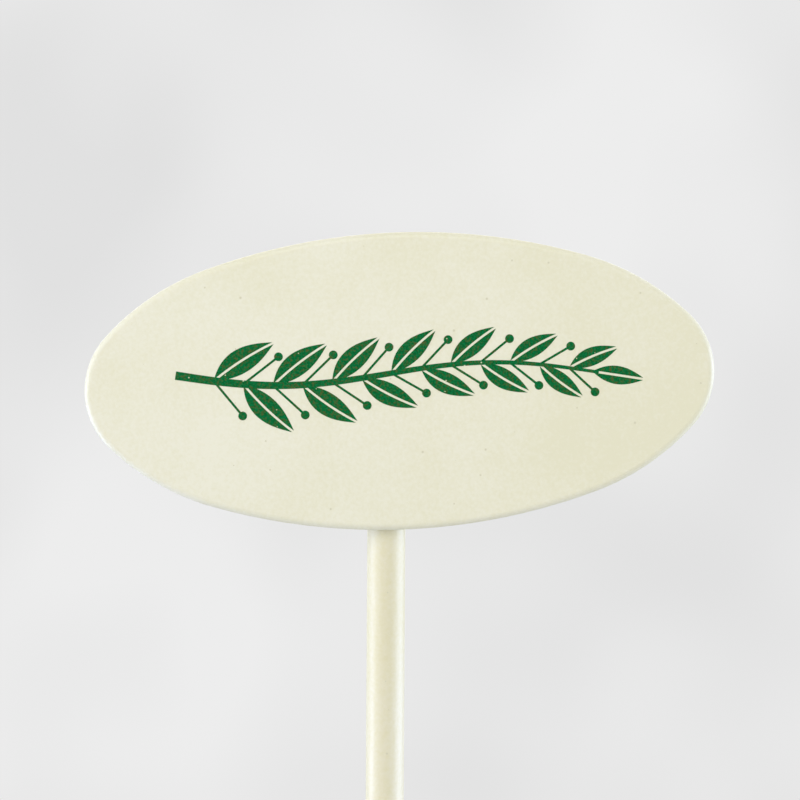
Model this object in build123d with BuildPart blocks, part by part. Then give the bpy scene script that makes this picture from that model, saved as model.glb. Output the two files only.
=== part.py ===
# Plant label stake: an oval label plate welded to the front of a pointed round rod.
# Z runs up the rod's axis from the soil line, and the label faces -Y. Millimetres.

import os
from math import cos, radians, sin, sqrt

from build123d import *

# Label plate, whose oval is drawn with an end, a shoulder and a side arc in each quarter
plate_width = 82.0
plate_height = 38.7
plate_thickness = 2.0
end_radius = 10.3
end_turn = 44.0  # degrees that the outline turns along the end arc
shoulder_turn = 28.0  # degrees that it turns along the shoulder arc
front_edge_radius = 0.8
back_edge_radius = 0.6
plate_tilt = 2.7  # degrees, right end up as seen from the front
plate_offset = 1.6  # plate's centre to the right of the rod's axis
plate_above_soil = 130.0  # soil line to the plate's lowest edge

# Rod
rod_diameter = 5.0
rod_below_soil = 100.0
point_length = 12.0
tip_diameter = 1.2
tip_round = 0.3
end_inset = 6.0  # rod's upper end below the plate's highest edge
end_round = 0.8
seat_depth = 0.15  # flat on the rod's front where the plate lies on it

# Welds, two along each side of the rod
weld_length = 10.0
weld_margin = 2.0  # weld to the end of the seat
weld_reach = 1.1  # weld's toe on the plate, beyond the rod's side
weld_climb = 65.0  # degrees round the rod from the plate
bead_radius = 2.2
ripple_pitch = 1.6

# Each arc of the oval moves along it by the arc's radius times the change of the outline's normal,
# so the shoulder and side radii follow from the width and height that the end arc leaves over
side_turn = 90 - end_turn - shoulder_turn
normal_angles = [0, end_turn, end_turn + shoulder_turn, end_turn + shoulder_turn + side_turn]
normals = [Vector(cos(radians(angle)), sin(radians(angle))) for angle in normal_angles]
end_step, shoulder_step, side_step = [after - before for before, after in zip(normals, normals[1:])]
left_over = Vector(-plate_width / 2, plate_height / 2) - end_step * end_radius
steps_cross = shoulder_step.cross(side_step).Z
shoulder_radius = left_over.cross(side_step).Z / steps_cross
side_radius = shoulder_step.cross(left_over).Z / steps_cross

# Levels and faces that the pieces share; the tilted oval's lowest and highest points are on its side arcs
rod_radius = rod_diameter / 2
half_rise = side_radius - (side_radius - plate_height / 2) * cos(radians(plate_tilt))
plate_centre_z = plate_above_soil + half_rise
plate_back_y = seat_depth - rod_radius
seat_bottom_z = plate_above_soil
rod_top_z = plate_centre_z + half_rise - end_inset
rod_tip_z = -rod_below_soil

os.makedirs("parts", exist_ok=True)

# Oval plate, drawn on its back face along its tilted axes and thickened towards the front
label_plane = Plane(
    origin=(plate_offset, plate_back_y, plate_centre_z),
    x_dir=(cos(radians(plate_tilt)), 0, sin(radians(plate_tilt))),
    z_dir=(0, -1, 0),
)

with BuildPart() as label_plate:
    with BuildSketch(label_plane):
        with BuildLine():
            end_arc = JernArc((plate_width / 2, 0), (0, 1), end_radius, end_turn)
            shoulder_arc = JernArc(end_arc @ 1, end_arc % 1, shoulder_radius, shoulder_turn)
            JernArc(shoulder_arc @ 1, shoulder_arc % 1, side_radius, side_turn)
            mirror(about=Plane.YZ)
            mirror(about=Plane.XZ)
        make_face()
    extrude(amount=plate_thickness)
    fillet(label_plate.edges().group_by(Axis.Y)[0], radius=front_edge_radius)
    fillet(label_plate.edges().group_by(Axis.Y)[-1], radius=back_edge_radius)

label_plate.part.label = "label_plate"
export_step(label_plate.part, "parts/label_plate.step")

# Turned rod with a blunt point, then the flat that seats it on the plate
with BuildPart() as stake_rod:
    with BuildSketch(Plane.XZ):
        with BuildLine():
            Polyline(
                (0, rod_tip_z),
                (tip_diameter / 2, rod_tip_z),
                (rod_radius, rod_tip_z + point_length),
                (rod_radius, rod_top_z),
                (0, rod_top_z),
                close=True,
            )
        make_face()
    revolve(axis=Axis.Z)
    fillet(stake_rod.edges().group_by(Axis.Z)[0], radius=tip_round)
    fillet(stake_rod.edges().group_by(Axis.Z)[-1], radius=end_round)
    with BuildSketch(Plane.XY.offset(seat_bottom_z)):
        with Locations((0, plate_back_y)):
            Rectangle(rod_diameter, seat_depth, align=(Align.CENTER, Align.MAX))
    extrude(amount=rod_top_z - seat_bottom_z, mode=Mode.SUBTRACT)

stake_rod.part.label = "stake_rod"
export_step(stake_rod.part, "parts/stake_rod.step")

# Each weld's crown is an arc from its toe on the plate to its crest on the rod
toe = Vector(rod_radius + weld_reach, plate_back_y)
crest = Vector(rod_radius * sin(radians(weld_climb)), -rod_radius * cos(radians(weld_climb)))
half_chord = (crest - toe) / 2
inward = half_chord.rotate(Axis.Z, 90).normalized()
bead_centre = toe + half_chord + inward * sqrt(bead_radius**2 - half_chord.length**2)
bead_end = sqrt(bead_radius**2 - (plate_back_y - bead_centre.Y) ** 2)

# Overlapping beads in a row make the ripples of a weld
ripple_run = weld_length - 2 * bead_end
ripple_count = round(ripple_run / ripple_pitch) + 1
ripple_rises = [ripple_run * (index / (ripple_count - 1) - 0.5) for index in range(ripple_count)]
weld_rise = weld_margin + weld_length / 2
weld_levels = {"lower": seat_bottom_z + weld_rise, "upper": rod_top_z - weld_rise}
weld_sides = {"left": -1, "right": 1}
plate_back = Plane(origin=(0, plate_back_y, 0), z_dir=(0, 1, 0))

for level, weld_z in weld_levels.items():
    for side, sign in weld_sides.items():
        with BuildPart() as weld:
            with Locations(*[(sign * bead_centre.X, bead_centre.Y, weld_z + rise) for rise in ripple_rises]):
                Sphere(bead_radius)
            split(bisect_by=Plane(origin=(0, 0, 0), z_dir=(sign, 0, 0)))
            split(bisect_by=plate_back)
            add(stake_rod.part, mode=Mode.SUBTRACT)
        weld.part.label = f"weld_{level}_{side}"
        export_step(weld.part, f"parts/weld_{level}_{side}.step")
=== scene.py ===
from math import atan2, cos, pi, radians, sin

import bmesh
import bpy
from mathutils import Matrix, Vector


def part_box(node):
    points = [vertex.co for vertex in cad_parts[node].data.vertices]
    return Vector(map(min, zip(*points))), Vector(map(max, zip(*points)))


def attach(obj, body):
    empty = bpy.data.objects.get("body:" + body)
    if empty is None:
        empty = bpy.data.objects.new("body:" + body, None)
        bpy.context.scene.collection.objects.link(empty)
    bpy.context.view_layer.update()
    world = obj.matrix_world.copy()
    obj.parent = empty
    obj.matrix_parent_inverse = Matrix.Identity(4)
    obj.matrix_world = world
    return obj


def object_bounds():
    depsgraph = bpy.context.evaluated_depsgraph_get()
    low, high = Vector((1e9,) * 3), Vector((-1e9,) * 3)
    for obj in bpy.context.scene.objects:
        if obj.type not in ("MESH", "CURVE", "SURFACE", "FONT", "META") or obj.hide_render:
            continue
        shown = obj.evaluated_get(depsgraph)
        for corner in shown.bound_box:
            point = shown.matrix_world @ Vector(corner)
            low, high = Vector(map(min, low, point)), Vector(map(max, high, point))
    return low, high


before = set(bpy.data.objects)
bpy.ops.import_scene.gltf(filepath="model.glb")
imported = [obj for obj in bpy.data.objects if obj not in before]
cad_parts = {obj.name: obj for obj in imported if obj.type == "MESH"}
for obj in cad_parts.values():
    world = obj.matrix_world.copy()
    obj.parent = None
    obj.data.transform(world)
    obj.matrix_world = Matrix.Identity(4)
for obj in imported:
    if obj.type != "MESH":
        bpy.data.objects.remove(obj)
cadLow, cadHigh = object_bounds()
scene = bpy.context.scene
scene.view_settings.view_transform = "Standard"
mm = 0.001

# the plate's width and the middle of its face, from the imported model
plateLow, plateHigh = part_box("label_plate")
plateWidth = plateHigh.x - plateLow.x
faceCentre = Vector(((plateLow.x + plateHigh.x) / 2, plateLow.y, (plateLow.z + plateHigh.z) / 2))
print("frame: plate", [round(size / mm, 1) for size in plateHigh - plateLow], "mm")


# sRGB hex to the linear colour that shaders and lamps take
def hexColour(code):
    shares = [int(code[place:place + 2], 16) / 255 for place in (1, 3, 5)]
    linear = [share / 12.92 if share <= 0.04045 else ((share + 0.055) / 1.055) ** 2.4 for share in shares]
    return linear + [1.0]


# one node with its settings and links; a setting is a socket where the node has one of that name or number
def addNode(tree, kind, settings=None, links=None):
    node = tree.nodes.new(kind)
    for name, value in (settings or {}).items():
        if isinstance(name, int) or name in node.inputs:
            node.inputs[name].default_value = value
        else:
            setattr(node, name, value)
    for name, source in (links or {}).items():
        tree.links.new(source, node.inputs[name])
    return node


def newMaterial(name):
    material = bpy.data.materials.new(name)
    material.use_nodes = True
    material.node_tree.nodes.clear()
    return material, material.node_tree


# dots of uneven size in the middle of some cells of an uneven grid, seen square to the plate's face
def scatteredDots(tree, coords, spacing, radii, share):
    core = 0.4  # inner part of a dot's radius that is at full strength
    turned = addNode(tree, "ShaderNodeMapping", {"Rotation": (radians(90), 0, 0)}, {"Vector": coords})
    cells = addNode(tree, "ShaderNodeTexVoronoi", {"voronoi_dimensions": "2D", "Scale": 1 / (spacing * mm)},
                    {"Vector": turned.outputs[0]})
    draw = addNode(tree, "ShaderNodeSeparateColor", {}, {"Color": cells.outputs["Color"]})
    radius = addNode(tree, "ShaderNodeMapRange",
                     {"To Min": radii[0] / spacing, "To Max": radii[1] / spacing},
                     {"Value": draw.outputs[1]})
    outward = addNode(tree, "ShaderNodeMath", {"operation": "DIVIDE"},
                      {0: cells.outputs["Distance"], 1: radius.outputs[0]})
    dot = addNode(tree, "ShaderNodeMapRange", {"From Min": 1.0, "From Max": core},
                  {"Value": outward.outputs[0]})
    chosen = addNode(tree, "ShaderNodeMath", {"operation": "LESS_THAN", 1: share}, {0: draw.outputs[0]})
    return addNode(tree, "ShaderNodeMath", {"operation": "MULTIPLY"},
                   {0: dot.outputs[0], 1: chosen.outputs[0]}).outputs[0]


# Satin polyester powder coat on steel: an even cream skin, a faint orange peel in the gloss, a slow drift of
# tint, a painted shade that turns it darker and yellower towards the right end, and a few dust nibs baked
# into it. Sizes are in millimetres.
# The powder's grain, about 0.05 mm, is too fine to show, so it is drawn at grainSize.
plateCoat = {"cream": "#E9E7D2", "deep": "#E2DFC2", "nib": "#D2CEB0",
             # the shift towards one end is painted shade: the coat turns darker and yellower towards the
             # plate's right end, where less light falls
             "driftSize": 14.0, "paintedShadeShift": 0.45, "grainSize": 0.45, "grainShare": 0.8,
             "tintRange": (0.6, 1.2),  # where the sum of drift, shift and grain turns from cream to deep
             "nibSpacing": 4.0, "nibRadii": (0.03, 0.22), "nibShare": 0.26, "nibRise": 2.0,  # in peel depths
             "peelSize": 1.1, "peelDepth": 0.006, "roughness": 0.36, "ior": 1.5}
rodCoat = dict(plateCoat, cream="#E2DDC3", deep="#DCD6B0")
weldCoat = dict(rodCoat, peelSize=0.7, peelDepth=0.012, roughness=0.4)


def powderCoat(name, look):
    material, tree = newMaterial(name)
    coords = addNode(tree, "ShaderNodeTexCoord").outputs["Object"]
    drift = addNode(tree, "ShaderNodeTexNoise", {"Scale": 1 / (look["driftSize"] * mm), "Detail": 2.0},
                    {"Vector": coords})
    grain = addNode(tree, "ShaderNodeTexNoise", {"Scale": 1 / (look["grainSize"] * mm), "Detail": 1.0},
                    {"Vector": coords})
    along = addNode(tree, "ShaderNodeSeparateXYZ", {}, {0: coords})
    # painted shade: darker and yellower towards the right end, in place of the weaker light there, added to
    # the random drift
    driftAndShade = addNode(tree, "ShaderNodeMath", {"operation": "MULTIPLY_ADD", 1: look["paintedShadeShift"] / plateWidth},
                   {0: along.outputs["X"], 2: drift.outputs["Fac"]})
    blend = addNode(tree, "ShaderNodeMath", {"operation": "MULTIPLY_ADD", 1: look["grainShare"]},
                    {0: grain.outputs["Fac"], 2: driftAndShade.outputs[0]})
    depth = addNode(tree, "ShaderNodeMapRange",
                    {"From Min": look["tintRange"][0], "From Max": look["tintRange"][1]},
                    {"Value": blend.outputs[0]})
    tint = addNode(tree, "ShaderNodeMix", {"data_type": "RGBA", 6: hexColour(look["cream"]),
                                           7: hexColour(look["deep"])}, {0: depth.outputs[0]})
    nibs = scatteredDots(tree, coords, look["nibSpacing"], look["nibRadii"], look["nibShare"])
    colour = addNode(tree, "ShaderNodeMix", {"data_type": "RGBA", 7: hexColour(look["nib"])},
                     {0: nibs, 6: tint.outputs[2]})
    peel = addNode(tree, "ShaderNodeTexNoise", {"Scale": 1 / (look["peelSize"] * mm), "Detail": 1.0},
                   {"Vector": coords})
    height = addNode(tree, "ShaderNodeMath", {"operation": "MULTIPLY_ADD", 1: look["nibRise"]},
                     {0: nibs, 2: peel.outputs["Fac"]})
    bump = addNode(tree, "ShaderNodeBump", {"Strength": 1.0, "Distance": look["peelDepth"] * mm},
                   {"Height": height.outputs[0]})
    shader = addNode(tree, "ShaderNodeBsdfPrincipled", {"Roughness": look["roughness"], "IOR": look["ior"]},
                     {"Base Color": colour.outputs[2], "Normal": bump.outputs[0]})
    addNode(tree, "ShaderNodeOutputMaterial", {}, {"Surface": shader.outputs[0]})
    return material


nodeCoats = {"label_plate": plateCoat, "stake_rod": rodCoat}  # every other node is a weld
for node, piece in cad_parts.items():
    piece.data.materials.clear()
    piece.data.materials.append(powderCoat("satinPowderCoat_" + node, nodeCoats.get(node, weldCoat)))
print("coated nodes:", sorted(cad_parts))


# Satin screen ink: an opaque green film that lies a little uneven, lighter and darker from grain to grain
# and browner where it is thin, with a few pinholes that show the coat. Sizes are in millimetres.
# The mark of the screen's mesh, about 0.1 mm, is too fine to show, so it is drawn at laySize.
ink = {"deep": "#035728", "green": "#05743E", "thin": "#56562A", "pinhole": "#D8D6B4",
       "laySize": 0.22, "layRange": (0.34, 0.66), "mottleSize": 0.32, "thinRange": (0.49, 0.77),
       "pinholeSpacing": 2.4, "pinholeRadii": (0.05, 0.16), "pinholeShare": 0.3,
       "roughness": 0.5, "ior": 1.12}  # below a real ink's, because the print hardly shines


def screenInk(name, look):
    material, tree = newMaterial(name)
    coords = addNode(tree, "ShaderNodeTexCoord").outputs["Object"]
    lay = addNode(tree, "ShaderNodeTexNoise", {"Scale": 1 / (look["laySize"] * mm), "Detail": 1.0},
                  {"Vector": coords})
    uneven = addNode(tree, "ShaderNodeMapRange",
                     {"From Min": look["layRange"][0], "From Max": look["layRange"][1]},
                     {"Value": lay.outputs["Fac"]})
    green = addNode(tree, "ShaderNodeMix", {"data_type": "RGBA", 6: hexColour(look["deep"]),
                                            7: hexColour(look["green"])}, {0: uneven.outputs[0]})
    mottle = addNode(tree, "ShaderNodeTexNoise", {"Scale": 1 / (look["mottleSize"] * mm), "Detail": 2.0},
                     {"Vector": coords})
    thin = addNode(tree, "ShaderNodeMapRange",
                   {"From Min": look["thinRange"][0], "From Max": look["thinRange"][1]},
                   {"Value": mottle.outputs["Fac"]})
    film = addNode(tree, "ShaderNodeMix", {"data_type": "RGBA", 7: hexColour(look["thin"])},
                   {0: thin.outputs[0], 6: green.outputs[2]})
    holes = scatteredDots(tree, coords, look["pinholeSpacing"], look["pinholeRadii"], look["pinholeShare"])
    colour = addNode(tree, "ShaderNodeMix", {"data_type": "RGBA", 7: hexColour(look["pinhole"])},
                     {0: holes, 6: film.outputs[2]})
    shader = addNode(tree, "ShaderNodeBsdfPrincipled", {"Roughness": look["roughness"], "IOR": look["ior"]},
                     {"Base Color": colour.outputs[2]})
    addNode(tree, "ShaderNodeOutputMaterial", {}, {"Surface": shader.outputs[0]})
    return material


# Printed sprig, drawn flat in millimetres and then laid on the plate's face. Pairs run from foot to tip,
# leans and tilt are in degrees, leafWidth and leafBend are shares of a leaf's length, firstLeaf to endLeaf
# are places along the stalk, and leafTaper says how slowly a leaf widens and narrows.
sprig = {"length": 55.0, "sway": 1.4, "stalkWidth": (1.1, 0.4), "stalkSteps": 60,
         "leafCount": 13, "leafLength": (9.4, 7.0), "leafWidth": 0.34, "leafTaper": (1.0, 1.15),
         "leafLean": (47, 38), "leafBend": 0.13, "leafSegments": 44, "midrib": 0.3, "midribCuts": 14,
         "firstLeaf": 0.09, "lastLeaf": 0.93, "endLeaf": 0.985,
         "stemLength": (5.9, 4.6), "stemLean": (43, 35), "stemWidth": (0.3, 0.3),
         "berryRadius": 0.57, "berrySegments": 28,
         "filmHeights": {"stems": 0.018, "leaves": 0.022, "berries": 0.026, "stalk": 0.03}, "sink": 0.02,
         "offset": (-1.6, 0.9), "tilt": 0.8}


# a value part of the way along a pair
def between(pair, way):
    return pair[0] + (pair[1] - pair[0]) * way


# the stalk sways through one whole wave
def stalkAt(share):
    return Vector((sprig["length"] * (share - 0.5), -sprig["sway"] * sin(2 * pi * share), 0))


def headingAt(path, share):
    step = 0.001
    ahead = path(share + step) - path(share - step)
    return atan2(ahead.y, ahead.x)


def addRibbon(bm, path, widths, steps):
    made = bmesh.ops.create_grid(bm, x_segments=steps, y_segments=1, size=1)
    for vert in made["verts"]:
        share = (vert.co.x + 1) / 2
        heading = headingAt(path, share)
        half = between(widths, share) / 2
        vert.co = path(share) + Vector((-sin(heading), cos(heading), 0)) * half * vert.co.y


# a leaf of unit length in two halves, with its midrib left bare
def leafShape(width, midrib):
    bm = bmesh.new()
    bmesh.ops.create_circle(bm, cap_ends=True, segments=sprig["leafSegments"], radius=0.5)
    foot, tip = sprig["leafTaper"]
    widest = foot / (foot + tip)
    peak = widest ** foot * (1 - widest) ** tip
    for vert in bm.verts:
        share = min(max(vert.co.x + 0.5, 0), 1)
        half = width / 2 * share ** foot * (1 - share) ** tip / peak
        vert.co = (share, half if vert.co.y > 0 else -half, 0)
    cut = bmesh.ops.bisect_plane(bm, geom=bm.verts[:] + bm.edges[:] + bm.faces[:], dist=1e-6,
                                 plane_co=(0, midrib / 2, 0), plane_no=(0, 1, 0), clear_inner=True)
    ribEdges = [part for part in cut["geom_cut"] if isinstance(part, bmesh.types.BMEdge)]
    bmesh.ops.subdivide_edges(bm, edges=ribEdges, cuts=sprig["midribCuts"])
    bmesh.ops.mirror(bm, geom=bm.verts[:] + bm.edges[:] + bm.faces[:], axis="Y", merge_dist=-1)
    bmesh.ops.recalc_face_normals(bm, faces=bm.faces)
    mesh = bpy.data.meshes.new("leafShape")
    bm.to_mesh(mesh)
    bm.free()
    return mesh


def addLeaf(bm, foot, heading, length, bend):
    before = len(bm.verts)
    shape = leafShape(sprig["leafWidth"], sprig["midrib"] / length)
    bm.from_mesh(shape)
    bpy.data.meshes.remove(shape)
    bm.verts.ensure_lookup_table()
    verts = bm.verts[before:]
    for vert in verts:
        vert.co.y += bend * vert.co.x ** 2
    place = Matrix.Translation(foot) @ Matrix.Rotation(heading, 4, "Z") @ Matrix.Scale(length, 4)
    bmesh.ops.transform(bm, matrix=place, verts=verts)


# each leaf's place along the stalk, its side and how far along the row it is
def leafPlaces():
    for index in range(sprig["leafCount"]):
        way = index / (sprig["leafCount"] - 1)
        side = 1 if index % 2 == 0 else -1
        yield between((sprig["firstLeaf"], sprig["lastLeaf"]), way), side, way


def drawStalk(bm):
    addRibbon(bm, stalkAt, sprig["stalkWidth"], sprig["stalkSteps"])


def drawLeaves(bm):
    for share, side, way in leafPlaces():
        heading = headingAt(stalkAt, share) + side * radians(between(sprig["leafLean"], way))
        addLeaf(bm, stalkAt(share), heading, between(sprig["leafLength"], way), -side * sprig["leafBend"])
    addLeaf(bm, stalkAt(sprig["endLeaf"]), headingAt(stalkAt, 1), sprig["leafLength"][1], 0)


# berry stems stand across the stalk from the leaves
def berryStems():
    for share, side, way in leafPlaces():
        heading = headingAt(stalkAt, share) - side * radians(between(sprig["stemLean"], way))
        reach = Vector((cos(heading), sin(heading), 0)) * between(sprig["stemLength"], way)
        yield stalkAt(share), reach


def drawStems(bm):
    straight = 1  # a straight ribbon needs no more than one step
    for foot, reach in berryStems():
        addRibbon(bm, lambda share: foot + reach * share, sprig["stemWidth"], straight)


def drawBerries(bm):
    for foot, reach in berryStems():
        bmesh.ops.create_circle(bm, cap_ends=True, segments=sprig["berrySegments"],
                                radius=sprig["berryRadius"], matrix=Matrix.Translation(foot + reach))


# each kind of shape is a film of its own height, so that no two tops lie in one plane
def printedSprig():
    bm = bmesh.new()
    drawings = {"stems": drawStems, "leaves": drawLeaves, "berries": drawBerries, "stalk": drawStalk}
    for kind, draw in drawings.items():
        before = len(bm.faces)
        draw(bm)
        bm.faces.ensure_lookup_table()
        raised = bmesh.ops.extrude_face_region(bm, geom=bm.faces[before:], use_keep_orig=True)["geom"]
        bmesh.ops.translate(bm, vec=(0, 0, sprig["filmHeights"][kind] + sprig["sink"]),
                            verts=[part for part in raised if isinstance(part, bmesh.types.BMVert)])
    bmesh.ops.recalc_face_normals(bm, faces=bm.faces)
    across, up = sprig["offset"]
    onFace = (Matrix.Translation(faceCentre + Vector((across, sprig["sink"], up)) * mm)
              @ Matrix.Rotation(-radians(sprig["tilt"]), 4, "Y") @ Matrix.Rotation(radians(90), 4, "X")
              @ Matrix.Scale(mm, 4))
    bmesh.ops.transform(bm, matrix=onFace, verts=bm.verts)
    mesh = bpy.data.meshes.new("printed_sprig")
    bm.to_mesh(mesh)
    bm.free()
    piece = bpy.data.objects.new("printed_sprig", mesh)
    scene.collection.objects.link(piece)
    mesh.materials.append(screenInk("satinScreenInk", ink))
    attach(piece, "root")
    return piece


sprigPiece = printedSprig()
print("printed sprig:", len(sprigPiece.data.polygons), "faces")

# Pale backdrop for the eye and for reflections, with a dimmer fill for everything else;
# cloudSize is an angle in radians
backdrop = {"pale": "#EDEDED", "shade": "#E1E1E1", "cloudSize": 0.06, "cloudRange": (0.3, 0.7), "fill": 0.65}


# 1 for what the camera sees, straight or in a reflection, and 0 for light on its way to the object
def toTheEye(tree):
    path = addNode(tree, "ShaderNodeLightPath")
    shiny = addNode(tree, "ShaderNodeMath", {"operation": "MAXIMUM"},
                    {0: path.outputs["Is Glossy Ray"], 1: path.outputs["Is Transmission Ray"]})
    return addNode(tree, "ShaderNodeMath", {"operation": "MAXIMUM"},
                   {0: path.outputs["Is Camera Ray"], 1: shiny.outputs[0]}).outputs[0]


def paleWorld():
    world = bpy.data.worlds.new("paleStudio")
    scene.world = world
    world.use_nodes = True
    tree = world.node_tree
    tree.nodes.clear()
    coords = addNode(tree, "ShaderNodeTexCoord").outputs["Generated"]
    cloud = addNode(tree, "ShaderNodeTexNoise", {"Scale": 1 / backdrop["cloudSize"], "Detail": 1.0},
                    {"Vector": coords})
    soft = addNode(tree, "ShaderNodeMapRange",
                   {"From Min": backdrop["cloudRange"][0], "From Max": backdrop["cloudRange"][1]},
                   {"Value": cloud.outputs["Fac"]})
    colour = addNode(tree, "ShaderNodeMix", {"data_type": "RGBA", 6: hexColour(backdrop["shade"]),
                                             7: hexColour(backdrop["pale"])}, {0: soft.outputs[0]})
    seen = addNode(tree, "ShaderNodeBackground", {"Strength": 1.0}, {"Color": colour.outputs[2]})
    fill = addNode(tree, "ShaderNodeBackground", {"Color": (1, 1, 1, 1), "Strength": backdrop["fill"]})
    mix = addNode(tree, "ShaderNodeMixShader", {},
                  {0: toTheEye(tree), 1: fill.outputs[0], 2: seen.outputs[0]})
    addNode(tree, "ShaderNodeOutputWorld", {}, {"Surface": mix.outputs[0]})


paleWorld()

# Floor under the point, in metres, fading into the backdrop further out
floor = {"radius": 1.0, "fadeFrom": 0.25, "segments": 96, "pale": "#F4F4F4", "bounce": "#C4C4C4"}


# Matt floor paint: an even pale grey to the eye, and a duller one for the light that it gives back
def floorPaint(name, look):
    material, tree = newMaterial(name)
    coords = addNode(tree, "ShaderNodeTexCoord").outputs["Object"]
    reach = addNode(tree, "ShaderNodeVectorMath", {"operation": "LENGTH"}, {0: coords})
    fade = addNode(tree, "ShaderNodeMapRange", {"From Min": look["fadeFrom"], "From Max": look["radius"],
                                                "interpolation_type": "SMOOTHSTEP"},
                   {"Value": reach.outputs["Value"]})
    seen = addNode(tree, "ShaderNodeBsdfDiffuse", {"Color": hexColour(look["pale"])})
    bounce = addNode(tree, "ShaderNodeBsdfDiffuse", {"Color": hexColour(look["bounce"])})
    paint = addNode(tree, "ShaderNodeMixShader", {},
                    {0: toTheEye(tree), 1: bounce.outputs[0], 2: seen.outputs[0]})
    clear = addNode(tree, "ShaderNodeBsdfTransparent")
    mix = addNode(tree, "ShaderNodeMixShader", {},
                  {0: fade.outputs[0], 1: paint.outputs[0], 2: clear.outputs[0]})
    addNode(tree, "ShaderNodeOutputMaterial", {}, {"Surface": mix.outputs[0]})
    return material


def paleFloor():
    bm = bmesh.new()
    bmesh.ops.create_circle(bm, cap_ends=True, segments=floor["segments"], radius=floor["radius"])
    bmesh.ops.translate(bm, verts=bm.verts, vec=(0, 0, cadLow.z))
    mesh = bpy.data.meshes.new("paleFloor")
    bm.to_mesh(mesh)
    bm.free()
    piece = bpy.data.objects.new("paleFloor", mesh)
    scene.collection.objects.link(piece)
    mesh.materials.append(floorPaint("mattFloorPaint", floor))
    return piece


floorPiece = paleFloor()
print("backdrop, and floor at", round(cadLow.z / mm), "mm")

# Soft boxes round the plate: turn in degrees from the camera's side, left below zero, and lift above level;
# away and size are in metres, and glow is the brightness of the box, with white at 1.
# The panels at the sides leave the floor alone, so that it stays even.
lamps = {
    "frontBox": {"turn": -5, "lift": 25, "away": 1.0, "size": (0.6, 0.9), "glow": 1.6, "tint": "#FFFAF2"},
    "keyBox": {"turn": -60, "lift": 20, "away": 1.0, "size": (0.5, 0.85), "glow": 1.8, "tint": "#FFFFFF"},
    "backBox": {"turn": 175, "lift": 32, "away": 1.0, "size": (1.3, 1.0), "glow": 0.8, "tint": "#FFFFFF"},
}
panels = {
    "leftPanel": {"turn": -85, "lift": 0, "away": 1.0, "size": (0.55, 0.5), "glow": 2.8, "tint": "#C1CFFF"},
    "lowLeftPanel": {"turn": -90, "lift": -24, "away": 0.3, "size": (0.145, 0.145), "glow": 5.6,
                     "tint": "#C3D2FF"},
    "rightPanel": {"turn": 92, "lift": 2, "away": 1.0, "size": (1.1, 0.48), "glow": 4.6, "tint": "#CAD9FF"},
    "lowRightPanel": {"turn": 90, "lift": -24, "away": 0.3, "size": (0.145, 0.145), "glow": 2.6,
                      "tint": "#D4DFFF"},
}


def addSoftBox(name, box):
    light = bpy.data.lights.new(name, "AREA")
    light.shape = "RECTANGLE"
    light.size, light.size_y = box["size"]
    light.energy = box["glow"] * pi * light.size * light.size_y  # watts that make the box that bright
    light.color = hexColour(box["tint"])[:3]
    lamp = bpy.data.objects.new(name, light)
    scene.collection.objects.link(lamp)
    turn, lift = radians(box["turn"]), radians(box["lift"])
    facing = Vector((sin(turn) * cos(lift), -cos(turn) * cos(lift), sin(lift)))
    lamp.location = faceCentre + facing * box["away"]
    lamp.rotation_euler = facing.to_track_quat("Z", "Y").to_euler()
    lamp.visible_camera = False
    return lamp


allButFloor = bpy.data.collections.new("allButFloor")
allButFloor.objects.link(floorPiece)
allButFloor.collection_objects[0].light_linking.link_state = "EXCLUDE"
for name, box in lamps.items():
    addSoftBox(name, box)
for name, box in panels.items():
    addSoftBox(name, box).light_linking.receiver_collection = allButFloor
print("lamps:", list(lamps) + list(panels))

# Camera square to the plate, a touch rolled, with the plate where the photograph has it: plateAt and
# plateAcross are in the picture's pixels, distance and nearClip in metres, and roll in degrees
view = {"pixels": 800, "plateAt": (399.4, 380.9), "plateAcross": 630.5, "distance": 0.6, "nearClip": 0.01,
        "roll": 0.34}


def addCamera():
    data = bpy.data.cameras.new("camera")
    camera = bpy.data.objects.new("camera", data)
    scene.collection.objects.link(camera)
    scene.camera = camera
    perPixel = plateWidth / view["plateAcross"]
    data.lens = data.sensor_width * view["distance"] / (perPixel * view["pixels"])
    data.clip_start = view["nearClip"]
    roll = radians(view["roll"])
    right, up = Vector((cos(roll), 0, sin(roll))), Vector((-sin(roll), 0, cos(roll)))
    across = (view["pixels"] / 2 - view["plateAt"][0]) * perPixel
    down = (view["plateAt"][1] - view["pixels"] / 2) * perPixel
    camera.location = faceCentre + right * across + up * down - Vector((0, view["distance"], 0))
    camera.rotation_euler = (radians(90), -roll, 0)
    return camera


camera = addCamera()
print("camera: lens", round(camera.data.lens), "mm")
